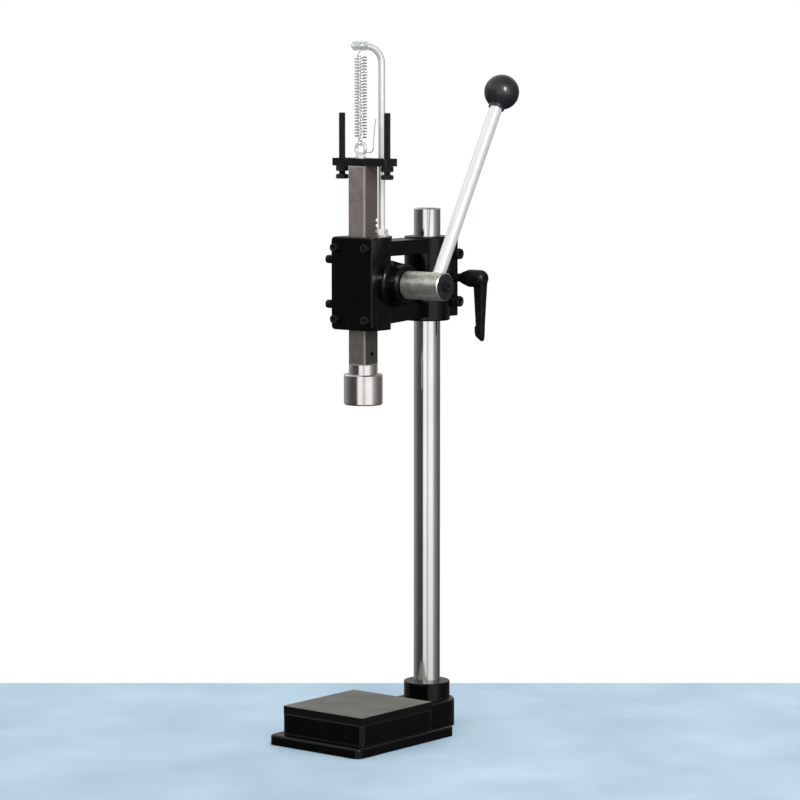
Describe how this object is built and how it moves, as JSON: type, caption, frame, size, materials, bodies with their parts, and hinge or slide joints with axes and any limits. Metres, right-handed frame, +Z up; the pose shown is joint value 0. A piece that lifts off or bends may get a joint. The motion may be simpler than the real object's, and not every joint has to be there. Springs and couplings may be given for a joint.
{
  "type": "bottle capper",
  "caption": "Bench lever press on a column: rack-and-pinion ram with a crimp bell that closes crown caps on bottles standing on a flat table.",
  "frame": {"origin": "where the ram's axis meets the surface the base stands on, on the base's underside", "axes": "+Z up along the ram and the column, +Y from the ram to the column, +X to the right seen from the front"},
  "size_m": [0.1778, 0.2661, 0.827],
  "materials": {
    "black_paint": "gloss black enamel on cast iron",
    "ground_steel": "centreless ground bright steel",
    "black_oxide": "black oxide",
    "brass": "milled brass",
    "bronze": "sintered bronze",
    "zinc_plate": "bright zinc plate",
    "blued_steel": "milled steel with a brownish oiled finish",
    "turned_steel": "fine turned steel",
    "magnet": "nickel-plated magnet",
    "spring_wire": "bright drawn wire",
    "hub_zinc": "mottled dull zinc plate",
    "lever_chrome": "bright plated rod",
    "black_plastic": "polished phenolic",
    "handle_plastic": "satin glass-filled nylon"
  },
  "bodies": {
    "root": {"base_casting": "black_paint", "column_set_screw": "black_oxide"},
    "column": {"column": "ground_steel"},
    "head": {"head_casting": "black_paint", "front_cover": "black_paint", "cover_screws": "black_oxide", "gib_plate": "brass", "gib_screws": "black_oxide", "gib_lock_nuts": "black_oxide", "pinion_bush_left": "bronze", "pinion_bush_right": "bronze", "clamp_screws": "black_oxide", "spring_rod": "zinc_plate", "spring_rod_washer": "zinc_plate", "spring_rod_foot_nut": "zinc_plate", "spring_rod_tip_nuts": "zinc_plate", "return_spring": "spring_wire"},
    "ram": {"ram": "blued_steel", "crimp_bell": "turned_steel", "cap_magnet": "magnet", "bell_set_screw": "black_oxide", "stop_bar": "black_oxide", "stop_bolts": "black_oxide", "stop_nuts": "black_oxide", "eye_bolt": "zinc_plate", "wire_tail": "spring_wire"},
    "lever": {"pinion_shaft": "turned_steel", "pinion_end_washer": "zinc_plate", "pinion_end_screw": "black_oxide", "lever_hub": "hub_zinc", "hub_clamp_screw": "black_oxide", "lever_rod": "lever_chrome", "ball_knob": "black_plastic"},
    "clamp_insert": {"clamp_insert": "black_oxide", "clamp_handle_screw": "black_oxide", "clamp_handle_spring": "spring_wire"},
    "clamp_handle": {"clamp_handle": "handle_plastic"}
  },
  "joints": [
    {"name": "head_swivel", "type": "hinge", "parent": "root", "child": "column", "pos_m": [0, 0.12, 0.054], "axis": [0, 0, 1], "range_deg": [-180, 180]},
    {"name": "head_slide", "type": "slide", "parent": "column", "child": "head", "axis": [0, 0, 1], "range_m": [-0.235, 0.03]},
    {"name": "lever_turn", "type": "hinge", "parent": "head", "child": "lever", "pos_m": [0, 0.0249, 0.5424], "axis": [1, 0, 0], "range_deg": [0, 270]},
    {"name": "ram_slide", "type": "slide", "parent": "head", "child": "ram", "axis": [0, 0, -1], "range_m": [0, 0.066], "stiffness_N_per_m": 400, "springref_m": -0.075, "deforming": ["return_spring"]},
    {"name": "clamp_turn", "type": "hinge", "parent": "head", "child": "clamp_insert", "pos_m": [0.03, 0.147, 0.544], "axis": [1, 0, 0], "range_deg": [0, 120]},
    {"name": "handle_lift", "type": "slide", "parent": "clamp_insert", "child": "clamp_handle", "axis": [1, 0, 0], "range_m": [0, 0.004], "stiffness_N_per_m": 500, "springref_m": -0.004, "deforming": ["clamp_handle_spring"]}
  ],
  "couplings": [
    {"joint": "ram_slide", "follows": "lever_turn", "m_per_rad": 0.014}
  ]
}
